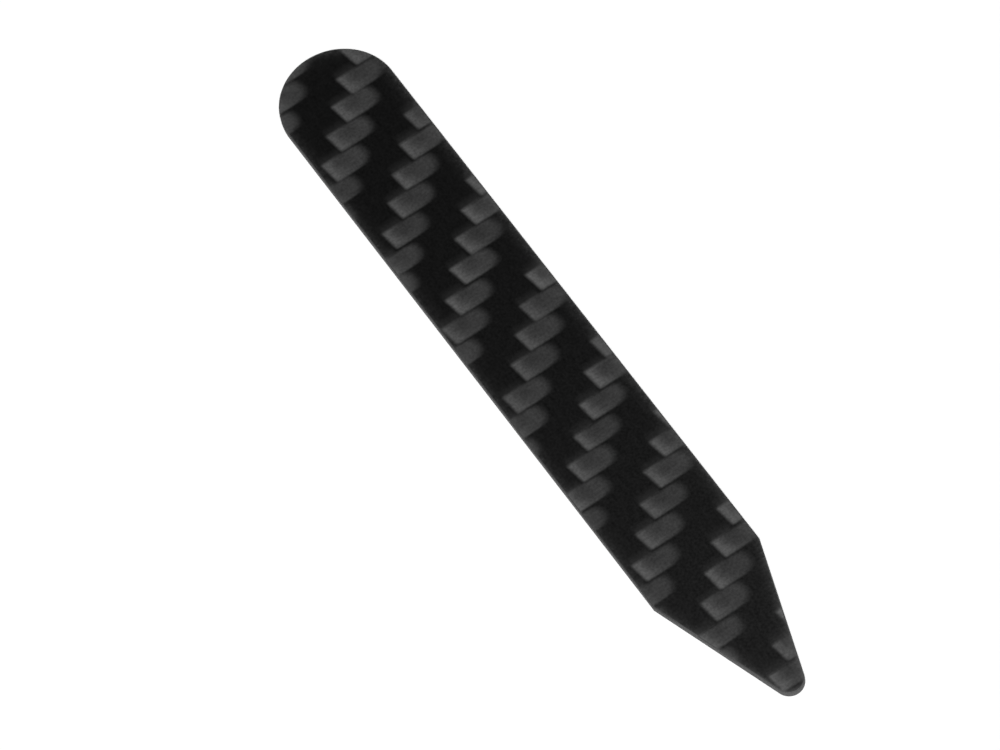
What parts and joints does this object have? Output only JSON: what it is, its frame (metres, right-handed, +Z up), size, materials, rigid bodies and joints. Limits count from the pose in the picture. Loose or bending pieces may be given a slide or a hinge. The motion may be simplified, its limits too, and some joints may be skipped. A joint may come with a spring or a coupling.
{
  "type": "collar stay",
  "caption": "Flat carbon-fibre collar stay with a round head, parallel sides and a tapered point with a small round tip.",
  "frame": {"origin": "under the middle of the blade, on its lower face", "axes": "+X from the round head to the point, +Y across the width, +Z up through the thickness"},
  "size_m": [0.0698, 0.01, 0.0007],
  "materials": {
    "carbon_laminate": "clear resin over a black two-by-two carbon twill with bright cross tows"
  },
  "bodies": {
    "root": {"collar_stay": "carbon_laminate"}
  },
  "joints": []
}
